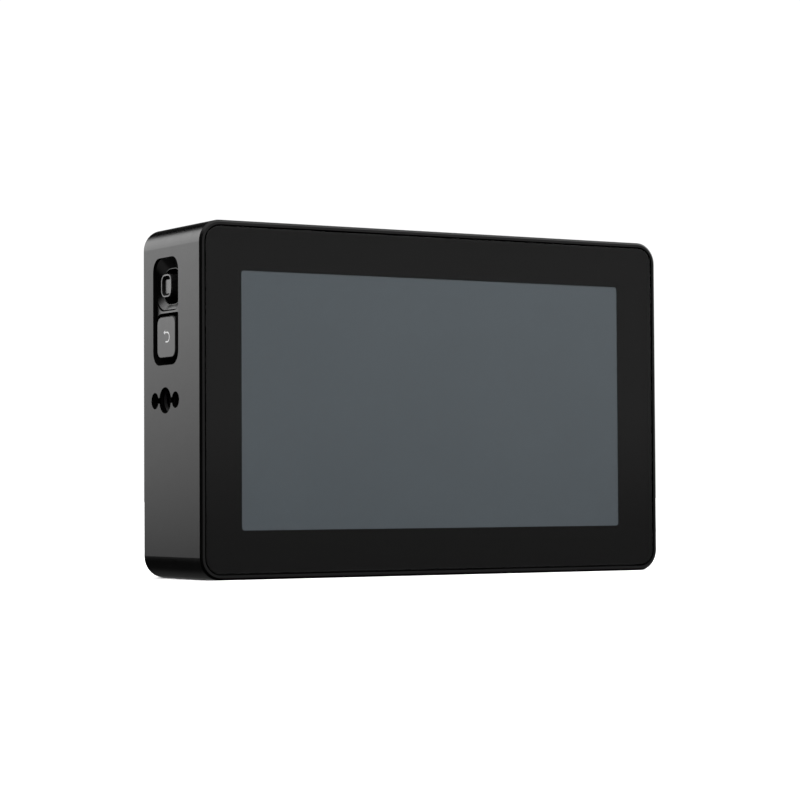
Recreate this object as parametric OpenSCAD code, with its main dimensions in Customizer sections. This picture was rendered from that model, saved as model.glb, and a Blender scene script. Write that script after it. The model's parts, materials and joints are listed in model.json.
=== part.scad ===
// On-camera field monitor, 5 inch class.
// Origin: centre of the base. +X right as seen by the viewer, +Y to the rear, +Z up. Millimetres.

/* [Body] */
// Width of the housing
body_w = 134; // [130:0.5:150]
// Height of the housing
body_h = 85.8; // [84:0.2:100]
// Depth of the housing, front rim to rear rim
body_d = 31.3; // [31:0.1:40]
// Radius of the four outline corners
corner_r = 5.4; // [4.5:0.1:7]
// Wall thickness of the housing
wall = 2.4; // [2:0.1:2.8]
// Chamfer along the front edge
edge_chamfer = 0.55; // [0.2:0.05:0.7]
// Chamfer along the rear edge
rear_chamfer = 0.6; // [0.2:0.1:0.8]
// Flat lip of the front rim
rim_lip = 0.6; // [0.4:0.05:0.8]
// Open groove between the rim and the cover glass
rim_groove = 0.35; // [0.3:0.05:0.7]

/* [Screen] */
// Border between the picture area and the housing's sides
side_border = 11.65; // [11:0.05:16]
// Border between the picture area and the housing's top and bottom
end_border = 11.75; // [11:0.05:16]
// Thickness of the cover glass
glass_t = 1.1; // [0.7:0.1:1.5]
// How far the glass sits behind the front rim
glass_inset = 0.1; // [0:0.05:0.3]
// Thickness of the black border film behind the glass
film_t = 0.15; // [0.1:0.05:0.3]
// Thickness of the adhesive frame that holds the glass
adhesive_t = 0.5; // [0.3:0.1:0.8]
// Width of the adhesive frame
adhesive_w = 2.6; // [2:0.1:3]
// Thickness of the ledge that carries the glass
ledge_t = 2; // [1.6:0.1:2.4]
// Border of the display cell round the picture area
cell_border = 1.9; // [1.5:0.1:2.2]
// Thickness of the display cell
cell_t = 1.4; // [1:0.1:1.8]
// Thickness of the backlight unit
backlight_t = 2.6; // [2.2:0.1:3]
// Sheet thickness of the display bracket
bracket_t = 0.6; // [0.5:0.1:0.8]

/* [Main board] */
// Length of the standoffs between display bracket and board
standoff_l = 6; // [5:0.1:6.2]
// Thickness of the main board
board_t = 1.6; // [1.2:0.1:1.8]
// Gap between the housing's top or bottom face and the main board
board_end_gap = 10.4; // [10.4:0.1:14]
// Gap between the side board and the main board
board_side_gap = 2.8; // [2.8:0.1:6]
// Side length of the processor package
chip_size = 17; // [12:0.5:20]
// Thickness of the processor package
chip_t = 1.4; // [1:0.1:1.8]
// Thickness of the heat pad
heat_pad_t = 0.8; // [0.5:0.1:1]
// Width of the heat sink
sink_w = 42; // [30:1:42]
// Height of the heat sink
sink_h = 28; // [20:1:28]
// Gap between the heat sink's fins and the battery bay
sink_gap = 0.75; // [0.5:0.05:3.75]

/* [Side controls] */
// Distance of the control column in front of the rear edge
control_back = 12.75; // [12.3:0.05:13.3]
// Width of the opening in the left wall, front to rear
opening_w = 13.8; // [13.2:0.1:14.4]
// Height of the opening in the left wall
opening_h = 26.2; // [25.6:0.1:27]
// Corner radius of the opening
opening_r = 3.4; // [2.5:0.1:4]
// Distance of the opening's centre below the top face
opening_drop = 20.9; // [18:0.1:24]
// How far the moulded bezel sits below the left face
bezel_inset = 1.1; // [0.8:0.1:1.4]
// Thickness of the bezel flange behind the wall
bezel_flange = 1.2; // [1:0.1:1.4]
// Height of the stick's centre above the opening's centre
stick_offset = 6.2; // [5.8:0.1:6.4]
// Width of the stick cap, front to rear
stick_w = 5.6; // [5:0.1:6]
// Height of the stick cap
stick_h = 5.7; // [5:0.1:6]
// Corner radius of the stick cap
stick_r = 1.9; // [1.2:0.1:2.2]
// Width of the well that the stick stands in
well_w = 9.9; // [9.4:0.1:10.2]
// Height of the well that the stick stands in
well_h = 8.4; // [8.2:0.1:8.8]
// Sideways reach of the flare round the well
well_flare = 1.5; // [1:0.1:1.6]
// Depth of the stick's pivot below the left face
pivot_depth = 7.6; // [7.4:0.1:7.8]
// Depth of the back button's centre below the opening's centre
button_drop = 6.3; // [6.2:0.05:6.4]
// Width of the back button, front to rear
button_w = 10; // [9:0.1:10.5]
// Height of the back button
button_h = 10.15; // [9.5:0.05:10.2]
// Corner radius of the back button
button_r = 2; // [1:0.1:3]
// Travel of the back button
button_travel = 0.5; // [0.3:0.05:0.5]
// Thickness of the side board
side_board_t = 1.2; // [1:0.1:1.6]

/* [Threaded mounts] */
// Bore radius of the 1/4 inch mounting threads
thread_r = 3.2; // [3:0.05:3.3]
// Distance of the mounts in front of the rear edge
mount_back = 12.43; // [12.1:0.01:12.8]
// Radius of the two locating holes beside each thread
pin_r = 2; // [1.5:0.1:2]
// Spacing of the two locating holes
pin_spacing = 11.2; // [11:0.1:12]
// Depth of the locating holes
pin_hole_d = 3.4; // [2:0.1:3.6]
// Thickness of the steel nut plates
nut_plate_t = 6; // [5:0.1:6]

/* [Rear cover and battery bay] */
// Thickness of the rear cover
cover_t = 2; // [1.6:0.1:2.2]
// How far the rear cover sits inside the rear rim
cover_inset = 0.2; // [0:0.05:0.4]
// Width of the rear rim
rear_rim = 1.2; // [0.9:0.05:1.2]
// Length of the battery bay, side to side
bay_w = 84; // [82:0.5:86]
// Height of the battery bay
bay_h = 43; // [42.6:0.1:45]
// Depth of the battery bay down to the plate's seat
bay_d = 6; // [5.5:0.1:6.2]
// Thickness of the battery plate
plate_t = 2; // [1.8:0.1:2.4]
// Width of the battery that the plate takes
battery_w = 38.4; // [38:0.1:39]
// Width of one cooling slot
slot_w = 1.6; // [1:0.1:2]
// Height of one cooling slot
slot_h = 8; // [5:0.5:9]
// Pitch of the cooling slots
slot_pitch = 4; // [3:0.25:6]
// Travel of the battery release
latch_travel = 2.7; // [2:0.1:2.8]

/* [Right side] */
// Height of the picture input socket's centre above mid-height
hdmi_rise = 17; // [16.5:0.1:17.5]
// Height of the earphone socket's centre below mid-height
phone_drop = 13.5; // [13:0.1:14.5]
// Height of the power socket's centre below mid-height
power_drop = 25.5; // [25:0.1:27]
// Height of the power button's centre above mid-height
switch_rise = 30.4; // [30:0.1:30.6]
// Radius of the power button
switch_r = 3.2; // [2.5:0.1:3.3]
// Travel of the power button
switch_travel = 0.6; // [0.3:0.1:0.7]

/* [Hidden] */
$fn = 64;

// Colours
metal_black = [0.11, 0.11, 0.12];
plastic_black = [0.08, 0.08, 0.09];
plastic_grey = [0.22, 0.22, 0.23];
board_green = [0.05, 0.2, 0.12];
steel = [0.7, 0.7, 0.72];
gold = [0.85, 0.68, 0.3];
ribbon_amber = [0.65, 0.4, 0.12];

// Overcut that lets a cutter run past a face
over = 1;
// Clearance between a screw's shank and its hole
screw_gap = 0.05;
// Shank radius of the small screws and of the larger ones
small_screw_r = 0.8;
large_screw_r = 1.2;
small_head_r = 1.6;
large_head_r = 2.2;
head_t = 1.1;
// Clearance round a loosely fitted part
loose_gap = 0.3;
// Clearance round a moulded part in its opening
fit_gap = 0.15;

mid_z = body_h / 2;
front_y = -body_d / 2;
control_depth = body_d - control_back;
opening_rise = body_h / 2 - opening_drop;

// Front stack, as distances behind the front rim
rim_w = edge_chamfer + rim_lip;
glass_border = rim_w + rim_groove;
glass_w = body_w - 2 * glass_border;
glass_h = body_h - 2 * glass_border;
glass_r = corner_r - glass_border;
film_d = glass_inset + glass_t;
cell_d = film_d + film_t;
ledge_d = cell_d + adhesive_t;
ledge_back = ledge_d + ledge_t;
backlight_d = cell_d + cell_t;
bracket_d = backlight_d + backlight_t;
standoff_d = bracket_d + bracket_t;
board_d = standoff_d + standoff_l;
board_back = board_d + board_t;

display_w = body_w - 2 * side_border;
display_h = body_h - 2 * end_border;
cell_w = display_w + 2 * cell_border;
cell_h = display_h + 2 * cell_border;
// Backlight frame round the cell
backlight_lip = 0.8;
backlight_w = cell_w + 2 * backlight_lip;
backlight_h = cell_h + 2 * backlight_lip;
backlight_r = 1.5;
// Gap between the backlight and the ledge's opening
backlight_gap = 0.8;
ledge_open_w = backlight_w + 2 * backlight_gap;
ledge_open_h = backlight_h + 2 * backlight_gap;

cavity_w = body_w - 2 * wall;
cavity_h = body_h - 2 * wall;
cavity_r = corner_r - wall;

// Rear stack, as distances behind the front rim
cover_out = body_d - cover_inset;
cover_in = cover_out - cover_t;
bay_seat = cover_out - bay_d;
plate_face = bay_seat + plate_t;
bay_wall = 1.6;
bay_back = bay_seat - bay_wall;

// Pads of the threaded mounts; the side ones lie just under the control bezel's flange
pad_w = 19;
pad_h = 12.5;
pad_t = 6;
bezel_overlap = 2;
bezel_mount_gap = 0.3;
side_mount_z = opening_rise - opening_h / 2 - bezel_overlap - bezel_mount_gap - pad_h / 2;

// Posts that carry the rear cover, between the side boards: [x, height from mid]
side_board_s = 9;
cover_post_r = 3;
cover_post_root = 1.2;
cover_post_x = body_w / 2 - side_board_s - side_board_t - head_t - loose_gap - cover_post_r;
cover_post_mid_x = 20;
cover_post_z = cavity_h / 2 - cover_post_r + cover_post_root;
cover_posts = [
  for (x = [cover_post_mid_x, cover_post_x], sx = [-1, 1], sz = [-1, 1]) [sx * x, sz * cover_post_z]
];
cover_screw_l = 8;

// Bosses that carry the display bracket: [x, height from mid]
bracket_boss_r = 2.2;
bracket_boss_gap = 2.2;
bracket_boss_x = cavity_w / 2 - bracket_boss_r - loose_gap;
bracket_boss_z = cavity_h / 2 - bracket_boss_r - loose_gap;
bracket_corner_x = cover_post_x - cover_post_r - bracket_boss_gap - bracket_boss_r;
// The bosses at the sides stand just under the mounts' pads
bracket_side_drop = pad_h / 2 + loose_gap + bracket_boss_r;
bracket_bosses = [
  [-bracket_boss_x, side_mount_z - bracket_side_drop],
  [bracket_boss_x, side_mount_z - bracket_side_drop],
  for (sx = [-1, 1], sz = [-1, 1]) [sx * bracket_corner_x, sz * bracket_boss_z]
];

// Nut plates of the threaded mounts
nut_plate_d = 4;
nut_plate_w = 16;
nut_plate_h = 11;
// Floor left under the blind threads
thread_floor = 1;
mount_depth = body_d - mount_back;
// Slots that join the locating holes to the thread
pin_slot_h = 1.4;
pin_slot_d = 0.8;

// Places of the left controls: distance behind the rim, height above mid
stick_z = opening_rise + stick_offset;
button_z = opening_rise - button_drop;
bezel_back = wall + bezel_flange;
ridge_z = opening_rise - 0.4;
bezel_post_r = 1.7;
bezel_post_in = 2.4;
bezel_posts = [
  for (sd = [-1, 1], sz = [-1, 1]) [
    control_depth + sd * (opening_w / 2 + bezel_overlap - bezel_post_in),
    opening_rise + sz * (opening_h / 2 + bezel_overlap - bezel_post_in)
  ]
];
bezel_screw_l = 5;

// Stick
stick_top = 0.17;
stick_rim = 0.45;
stick_groove_d = 1.2;
stick_pad_inset = 0.3;
stick_pad_w = 2.3;
stick_pad_h = 3.8;
stick_base_w = 7.8;
stick_base_s = 5.9;
stick_cavity_r = 3;
rocker_out_r = 2.7;
rocker_in_r = 1.9;
rocker_t = 1;
pivot_pin_r = 0.4;
pivot_gap = 0.04;
stem_hub_r = 1;
stem_r = 0.9;
stem_top = 3.2;
stick_press = 0.3;
stick_mouth_r = 2.1;

// Back button and its switch
button_top = 0.15;
button_t = 1.5;
button_edge = 0.25;
button_stem_r = 1.6;
button_collar_r = 2.7;
button_collar_t = 0.7;
plunger_r = 1.5;
plunger_gap = 0.1;
back_switch_w = 6;
back_switch_s = 5.8;
plunger_top = 5.1;
plunger_end = 6.6;
mark_t = 0.12;
mark_stroke = 0.36;
mark_r = 1.15;
mark_shift = -0.55;
mark_tail = 0.95;
mark_lap = 0.01;
// Arrow head: half its height, its length, and where its base lies
arrow_half = 0.55;
arrow_l = 1;
arrow_x = 1.1;
// Power mark: outer radius, width of the gap at its top, and length of its bar
power_r = 1.5;
power_gap = 1.3;
power_bar = 1.4;

// Right side
port_in = 0.6;
hdmi_w = 15;
hdmi_t = 5.5;
hdmi_l = 11.5;
hdmi_sheet = 0.4;
hdmi_depth = board_back + hdmi_t / 2;
phone_t = 6;
phone_l = 12;
phone_nose_r = 2.7;
phone_bore_r = 1.8;
phone_depth = board_back + phone_t / 2;
power_t = 10.5;
power_w = 9;
power_l = 13;
power_nose_r = 3.9;
power_bore_r = 3.15;
power_pin_r = 1;
power_depth = board_back + power_t / 2;
switch_depth = board_back + 3;
switch_top = 0.15;
switch_collar_r = switch_r + 0.9;
switch_collar_t = 1.1;
switch_body_s = 5.2;
switch_body_t = 4;
switch_body_w = 6;
switch_plunger_r = 1.5;
switch_plunger_end = 6.8;
switch_spring_room = 0.4;
board_right_gap = 5;
board_notch_gap = 0.5;

// Battery bay furniture, heights from mid, x from centre
plate_gap = 0.4;
plate_w = bay_w - 2 * plate_gap;
plate_h = bay_h - 2 * plate_gap;
hook_h = 3.2;
hook_wall = 1.6;
hook_lip = 1.6;
hook_lip_t = 1.3;
hook_l = 10;
hook_gap = 0.3;
block_x = -bay_w / 2 + 0.8;
block_w = 4.8;
block_h = 24;
block_t = 3.5;
contact_z = [-8, 0, 8];
contact_t = 1;
contact_reach = 4.2;
contact_rise = 0.9;
contact_b = 2.2;
contact_tail = 3.1;
latch_in = 12;
latch_x = bay_w / 2 - latch_in;
hook_latch_gap = 15;
hook_x = [-bay_w / 4, latch_x - hook_latch_gap];
latch_w = 10;
latch_h = 14;
latch_rise = 2.6;
latch_flange = 1;
latch_flange_t = 1;
latch_gap = 0.1;
latch_side_gap = 0.3;
latch_floor = 1.4;
// Room for the spring when the release is pressed home
spring_solid = 1.3;
latch_pocket_d = latch_gap + latch_flange_t + latch_travel + spring_solid;
spring_r = 2.4;
spring_wire = 0.5;
spring_turns = 4;
spring_steps = 12;
plate_boss_r = 2.4;
plate_screw_l = 4.5;
plate_screw_in = 11;
plate_screw_x = [-bay_w / 2 + plate_screw_in, latch_x - 5.6];
// The screws pass above and below the heat sink
sink_side_gap = 0.8;
plate_screw_z = sink_h / 2 + sink_side_gap + plate_boss_r;

// ---------- helpers ----------

// Rounded rectangle with true arcs
module rounded_rect(w, h, r) {
  square([w - 2 * r, h], center = true);
  square([w, h - 2 * r], center = true);
  for (sx = [-1, 1], sy = [-1, 1])
    translate([sx * (w / 2 - r), sy * (h / 2 - r)]) circle(r);
}

// Sketch seen from the front (x, height from mid), extruded between two depths
module face_prism(d0, d1) {
  translate([0, front_y + d1, mid_z]) rotate([90, 0, 0]) linear_extrude(height = d1 - d0) children();
}

// Sketch on the left face (depth, height from mid), extruded inward from s0 to s1
module left_prism(s0, s1) {
  translate([-body_w / 2 + s0, front_y, mid_z]) rotate([90, 0, 90])
    linear_extrude(height = s1 - s0) children();
}

// The same on the right face
module right_prism(s0, s1) {
  mirror([1, 0, 0]) left_prism(s0, s1) children();
}

// Sketch on the bottom face (x, depth), extruded upward from s0 to s1
module bottom_prism(s0, s1) {
  translate([0, front_y, s0]) linear_extrude(height = s1 - s0) children();
}

// Half outline of a bar with a chamfer at each end: [half width, distance along]
function chamfer_half(hw, d, c0, l0, c1, l1) =
  [[0, 0], [hw - l0, 0], [hw, c0], [hw, d - c1], [hw - l1, d], [0, d]];

function mirrored(points) =
  concat(points, [for (i = [len(points) - 1:-1:0]) [-points[i][0], points[i][1]]]);

// Rounded bar along +Z whose two ends have chamfers: c along the bar, l across it
module chamfered_bar(w, h, d, r, c0, l0, c1, l1) {
  translate([0, (h - 2 * r) / 2, 0]) rotate([90, 0, 0])
    linear_extrude(height = h - 2 * r) polygon(mirrored(chamfer_half(w / 2, d, c0, l0, c1, l1)));
  translate([-(w - 2 * r) / 2, 0, 0]) rotate([90, 0, 90])
    linear_extrude(height = w - 2 * r) polygon(mirrored(chamfer_half(h / 2, d, c0, l0, c1, l1)));
  for (sx = [-1, 1], sy = [-1, 1])
    translate([sx * (w / 2 - r), sy * (h / 2 - r), 0])
      rotate_extrude() polygon(chamfer_half(r, d, c0, l0, c1, l1));
}

// Chamfered bar seen from the front, between two depths
module face_bar(w, h, d0, d1, r, c0, c1) {
  translate([0, front_y + d0, mid_z]) rotate([-90, 0, 0])
    chamfered_bar(w, h, d1 - d0, r, c0, c0, c1, c1);
}

// Screw seen from the rear: head behind the seat depth, shank to the front
module rear_screw(x, z, seat, shank_r, head_r, l) {
  difference() {
    union() {
      face_prism(seat - l, seat) translate([x, z]) circle(shank_r);
      face_prism(seat, seat + head_t) translate([x, z]) circle(head_r);
    }
    face_prism(seat + head_t / 2, seat + head_t + over)
      translate([x, z]) circle(shank_r, $fn = 6);
  }
}

// Places its children's sketch at the stick, the back button or a mount
module at_stick() { translate([control_depth, stick_z]) children(); }
module at_button() { translate([control_depth, button_z]) children(); }
module at_side_mount() { translate([mount_depth, side_mount_z]) children(); }

// The two locating holes beside a thread
module pin_holes() {
  for (s = [-1, 1]) translate([s * pin_spacing / 2, 0]) circle(pin_r);
}

// ---------- housing ----------

module housing() {
  color(metal_black) difference() {
    union() {
      housing_shell();
      housing_bosses();
    }
    housing_holes();
  }
}

module housing_shell() {
  difference() {
    face_bar(body_w, body_h, 0, body_d, corner_r, edge_chamfer, rear_chamfer);
    face_prism(-over, ledge_d) rounded_rect(body_w - 2 * rim_w, body_h - 2 * rim_w, corner_r - rim_w);
    face_prism(ledge_d - over, ledge_back + over)
      rounded_rect(ledge_open_w, ledge_open_h, backlight_r + backlight_gap);
    face_prism(ledge_back, body_d + over) rounded_rect(cavity_w, cavity_h, cavity_r);
    face_prism(cover_in, body_d + over)
      rounded_rect(body_w - 2 * rear_rim, body_h - 2 * rear_rim, corner_r - rear_rim);
  }
}

module housing_bosses() {
  for (p = bracket_bosses)
    face_prism(ledge_back - ledge_t / 2, bracket_d) translate(p) circle(bracket_boss_r);
  for (p = cover_posts)
    face_prism(ledge_back - ledge_t / 2, cover_in) translate(p) circle(cover_post_r);
  left_prism(wall / 2, pad_t) at_side_mount() square([pad_w, pad_h], center = true);
  right_prism(wall / 2, pad_t) at_side_mount() square([pad_w, pad_h], center = true);
  bottom_prism(wall / 2, pad_t) translate([0, mount_depth]) square([pad_w, pad_h], center = true);
}

module housing_holes() {
  for (p = bracket_bosses)
    face_prism(ledge_d + 0.8, bracket_d + over) translate(p) circle(small_screw_r + screw_gap);
  for (p = cover_posts)
    face_prism(cover_in - cover_screw_l, cover_in + over) translate(p) circle(large_screw_r + screw_gap);
  left_prism(-over, wall + over)
    translate([control_depth, opening_rise]) rounded_rect(opening_w, opening_h, opening_r);
  left_prism(-over, pad_t + over) at_side_mount() circle(thread_r);
  left_prism(-over, pin_hole_d) at_side_mount() pin_holes();
  left_prism(-over, pin_slot_d) at_side_mount() square([pin_spacing, pin_slot_h], center = true);
  left_prism(nut_plate_d, pad_t + over) at_side_mount() square([nut_plate_w, nut_plate_h], center = true);
  right_prism(-over, pad_t + over) at_side_mount() circle(thread_r);
  right_prism(-over, pin_hole_d) at_side_mount() pin_holes();
  right_prism(-over, pin_slot_d) at_side_mount() square([pin_spacing, pin_slot_h], center = true);
  right_prism(nut_plate_d, pad_t + over) at_side_mount() square([nut_plate_w, nut_plate_h], center = true);
  bottom_prism(-over, pad_t + over) translate([0, mount_depth]) circle(thread_r);
  bottom_prism(-over, pin_hole_d) translate([0, mount_depth]) pin_holes();
  bottom_prism(-over, pin_slot_d)
    translate([0, mount_depth]) square([pin_spacing, pin_slot_h], center = true);
  bottom_prism(nut_plate_d, pad_t + over)
    translate([0, mount_depth]) square([nut_plate_w, nut_plate_h], center = true);
  right_prism(-over, wall + over)
    translate([hdmi_depth, hdmi_rise])
      rounded_rect(hdmi_t + 2 * loose_gap, hdmi_w + 2 * loose_gap, 0.8);
  right_prism(-over, wall + over) translate([phone_depth, -phone_drop]) circle(phone_nose_r + loose_gap);
  right_prism(-over, wall + over) translate([power_depth, -power_drop]) circle(power_nose_r + loose_gap);
  right_prism(-over, wall + over) translate([switch_depth, switch_rise]) circle(switch_r + fit_gap);
}

// ---------- screen ----------

module cover_glass() {
  color([0.1, 0.11, 0.12, 0.5])
    face_bar(glass_w, glass_h, glass_inset, film_d, glass_r, fit_gap, 0.01);
}

module border_film() {
  color(plastic_black) face_prism(film_d, cell_d) difference() {
    rounded_rect(glass_w - 2 * loose_gap, glass_h - 2 * loose_gap, glass_r - loose_gap);
    rounded_rect(display_w, display_h, 0.8);
  }
}

module glass_adhesive() {
  outer_w = glass_w - 2 * loose_gap;
  outer_h = glass_h - 2 * loose_gap;
  color(plastic_black) face_prism(cell_d, ledge_d) difference() {
    rounded_rect(outer_w, outer_h, glass_r - loose_gap);
    rounded_rect(outer_w - 2 * adhesive_w, outer_h - 2 * adhesive_w, 1);
  }
}

module display_cell() {
  color([0.3, 0.33, 0.35]) face_prism(cell_d, backlight_d) rounded_rect(cell_w, cell_h, 0.5);
}

module backlight_unit() {
  color(steel) face_prism(backlight_d, bracket_d) rounded_rect(backlight_w, backlight_h, backlight_r);
}

module display_bracket() {
  color(steel) difference() {
    face_prism(bracket_d, standoff_d)
      rounded_rect(cavity_w - 2 * loose_gap, cavity_h - 2 * loose_gap, cavity_r);
    for (p = cover_posts)
      face_prism(bracket_d - over, standoff_d + over) translate(p) circle(cover_post_r + loose_gap);
    for (p = bracket_bosses)
      face_prism(bracket_d - over, standoff_d + over) translate(p) circle(small_screw_r + screw_gap);
    for (s = [-1, 1])
      face_prism(bracket_d - over, standoff_d + over)
        translate([0, s * (backlight_h / 2 - 1)]) square([ribbon_w + 4, 5], center = true);
    for (x = [-1.5:1:1.5])
      face_prism(bracket_d - over, standoff_d + over)
        translate([x * 24, 0]) rounded_rect(12, 20, 3);
  }
}

module bracket_screws() {
  color(steel) for (p = bracket_bosses)
    rear_screw(p[0], p[1], standoff_d, small_screw_r, small_head_r, standoff_d - ledge_d - 1);
}

// Ribbon strip: points are [depth, height from mid], swept as a flat band across x
module band(points, x0, x1, t) {
  translate([x0, front_y, mid_z]) rotate([90, 0, 90])
    linear_extrude(height = x1 - x0)
      for (i = [0:len(points) - 2])
        band_step(points[i], points[i + 1], t);
}

module band_step(a, b, t) {
  length = norm(b - a);
  translate(a) rotate(atan2(b[1] - a[1], b[0] - a[0]))
    translate([-t / 2, -t / 2]) square([length + t, t]);
}

ribbon_w = 24;
ribbon_t = 0.2;
ribbon_gap = 0.3;
connector_t = 1.2;
connector_h = 3.5;
board_h = body_h - 2 * board_end_gap;
board_left = body_w / 2 - side_board_s - side_board_t - board_side_gap;
connector_in = 7.5;
connector_z = board_h / 2 - connector_in;

module display_ribbon() {
  edge_z = -cell_h / 2;
  turn_z = -backlight_h / 2 - ribbon_gap;
  band_d = board_d - connector_t / 2;
  color(ribbon_amber) band([
    [cell_d + cell_t / 2, edge_z - ribbon_t / 2],
    [cell_d + cell_t / 2, turn_z],
    [bracket_d + bracket_t / 2, turn_z],
    [standoff_d + ribbon_gap, turn_z],
    [band_d, turn_z + 4],
    [band_d, -connector_z - connector_h / 2 - ribbon_t / 2]
  ], -ribbon_w / 2, ribbon_w / 2, ribbon_t);
}

module touch_ribbon() {
  edge_z = cell_h / 2 + backlight_lip + ribbon_gap;
  band_d = board_d - connector_t / 2;
  color(ribbon_amber) band([
    [cell_d + ribbon_t / 2, edge_z],
    [bracket_d + bracket_t / 2, edge_z],
    [standoff_d + ribbon_gap, edge_z],
    [band_d, edge_z - 4],
    [band_d, connector_z + connector_h / 2 + ribbon_t / 2]
  ], -ribbon_w / 4, ribbon_w / 4, ribbon_t);
}

// ---------- main board ----------

standoff_in_x = 7;
standoff_in_z = 5.5;
standoff_x = board_left - standoff_in_x;
standoff_z = board_h / 2 - standoff_in_z;
standoff_r = 2.5;
board_screw_grip = 3;
standoffs = [for (sx = [-1, 1], sz = [-1, 1]) [sx * standoff_x, sz * standoff_z]];

module board_standoffs() {
  color(gold) difference() {
    for (p = standoffs) face_prism(standoff_d, board_d) translate(p) circle(standoff_r, $fn = 6);
    for (p = standoffs)
      face_prism(standoff_d + over, board_d + over) translate(p) circle(large_screw_r + screw_gap);
  }
}

module main_board() {
  right_edge = body_w / 2 - board_right_gap;
  notch_x = body_w / 2 - nut_plate_d - nut_plate_t - board_notch_gap;
  notch_h = pad_h + 4 * board_notch_gap;
  color(board_green) difference() {
    face_prism(board_d, board_back) difference() {
      translate([-board_left, -board_h / 2]) square([board_left + right_edge, board_h]);
      translate([notch_x, -notch_h / 2]) square([right_edge, notch_h]);
    }
    for (p = standoffs)
      face_prism(board_d - over, board_back + over) translate(p) circle(large_screw_r + 2 * screw_gap);
    for (p = sink_screw_places)
      face_prism(board_d - over, board_back + over) translate(p) circle(small_screw_r + screw_gap);
  }
}

module board_screws() {
  color(steel) for (p = standoffs)
    rear_screw(p[0], p[1], board_back, large_screw_r, large_head_r, board_t + board_screw_grip);
}

chip_x = -2;

module processor() {
  color(plastic_black)
    face_prism(board_back, board_back + chip_t) translate([chip_x, 0]) square(chip_size, center = true);
}

module heat_pad() {
  color([0.55, 0.6, 0.65]) face_prism(board_back + chip_t, sink_d)
    translate([chip_x, 0]) square(chip_size - 1, center = true);
}

sink_d = board_back + chip_t + heat_pad_t;
sink_t = bay_back - sink_gap - sink_d;
sink_base = 2;
fin_count = 9;
fin_t = 1.2;
sink_screw_in = 3;
sink_screw_places = [
  for (s = [-1, 1]) [chip_x + s * (sink_w / 2 - sink_screw_in), s * (sink_h / 2 - sink_screw_in)]
];
sink_post_r = 2;

module heat_sink() {
  color([0.55, 0.55, 0.57]) difference() {
    union() {
      face_prism(sink_d, sink_d + sink_base) translate([chip_x, 0]) square([sink_w, sink_h], center = true);
      for (i = [0:fin_count - 1])
        face_prism(sink_d + sink_base / 2, sink_d + sink_t)
          translate([chip_x + (i / (fin_count - 1) - 0.5) * (sink_w - fin_t), 0])
            square([fin_t, sink_h], center = true);
      for (p = sink_screw_places) face_prism(board_back, sink_d + sink_base) translate(p) circle(sink_post_r);
    }
    for (p = sink_screw_places) {
      face_prism(board_back - over, sink_d + sink_t) translate(p) circle(small_screw_r + screw_gap);
      face_prism(sink_d + sink_base, sink_d + sink_t + over) translate(p) circle(small_head_r + loose_gap);
    }
  }
}

module heat_sink_screws() {
  color(steel) for (p = sink_screw_places)
    rear_screw(p[0], p[1], sink_d + sink_base, small_screw_r, small_head_r, sink_d + sink_base - board_d);
}

module ribbon_connectors() {
  color([0.85, 0.82, 0.75]) {
    face_prism(board_d - connector_t, board_d)
      translate([0, -connector_z]) square([ribbon_w + 3, connector_h], center = true);
    face_prism(board_d - connector_t, board_d)
      translate([0, connector_z]) square([ribbon_w / 2 + 3, connector_h], center = true);
    face_prism(board_back, board_back + connector_t)
      translate([side_plug_x, side_ribbon_z]) square([connector_h, side_ribbon_w + 3], center = true);
  }
}

coil_x = 34;
coil_z = 21;
coil_places = [for (sx = [-1, 1], sz = [-1, 1]) [sx * coil_x, sz * coil_z]];
coil_size = 7;
coil_t = 3.5;

module power_coils() {
  color([0.25, 0.25, 0.27]) for (p = coil_places)
    face_prism(board_back, board_back + coil_t) translate(p) rounded_rect(coil_size, coil_size, 1.5);
}

// ---------- right side ----------

module hdmi_shell() {
  far = port_in + hdmi_l;
  color(steel) difference() {
    right_prism(port_in, far) translate([hdmi_depth, hdmi_rise]) hdmi_outline(0);
    right_prism(port_in - over, far - 1) translate([hdmi_depth, hdmi_rise]) hdmi_outline(hdmi_sheet);
  }
}

// Socket outline: flat towards the board, narrowed corners on the other side
module hdmi_outline(inset) {
  half_t = hdmi_t / 2 - inset;
  half_w = hdmi_w / 2 - inset;
  step_w = half_w - 1.4;
  step_t = half_t - 1.6;
  polygon([
    [-half_t, -step_w], [-step_t, -half_w], [half_t, -half_w],
    [half_t, half_w], [-step_t, half_w], [-half_t, step_w]
  ]);
}

tongue_in = 2;
tongue_t = 1.5;
tongue_side = 2;
tongue_shift = 0.3;

module hdmi_tongue() {
  far = port_in + hdmi_l - 1;
  color(plastic_black) right_prism(port_in + tongue_in, far)
    translate([hdmi_depth + tongue_shift, hdmi_rise])
      square([tongue_t, hdmi_w - 2 * tongue_side], center = true);
}

module phone_socket() {
  color(plastic_black) difference() {
    union() {
      right_prism(wall + loose_gap, port_in + phone_l)
        translate([phone_depth, -phone_drop]) square([phone_t, phone_t + 1], center = true);
      right_prism(port_in, wall + over) translate([phone_depth, -phone_drop]) circle(phone_nose_r);
    }
    right_prism(port_in - over, port_in + phone_l - 1)
      translate([phone_depth, -phone_drop]) circle(phone_bore_r);
  }
}

module power_socket() {
  color(plastic_black) difference() {
    union() {
      right_prism(wall + loose_gap, port_in + power_l)
        translate([power_depth, -power_drop]) square([power_t, power_w], center = true);
      right_prism(port_in, wall + over) translate([power_depth, -power_drop]) circle(power_nose_r);
    }
    right_prism(port_in - over, port_in + power_l - 2)
      translate([power_depth, -power_drop]) circle(power_bore_r);
  }
}

module power_socket_pin() {
  color(gold) right_prism(port_in + 1.5, port_in + power_l - 2)
    translate([power_depth, -power_drop]) circle(power_pin_r);
}

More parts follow.
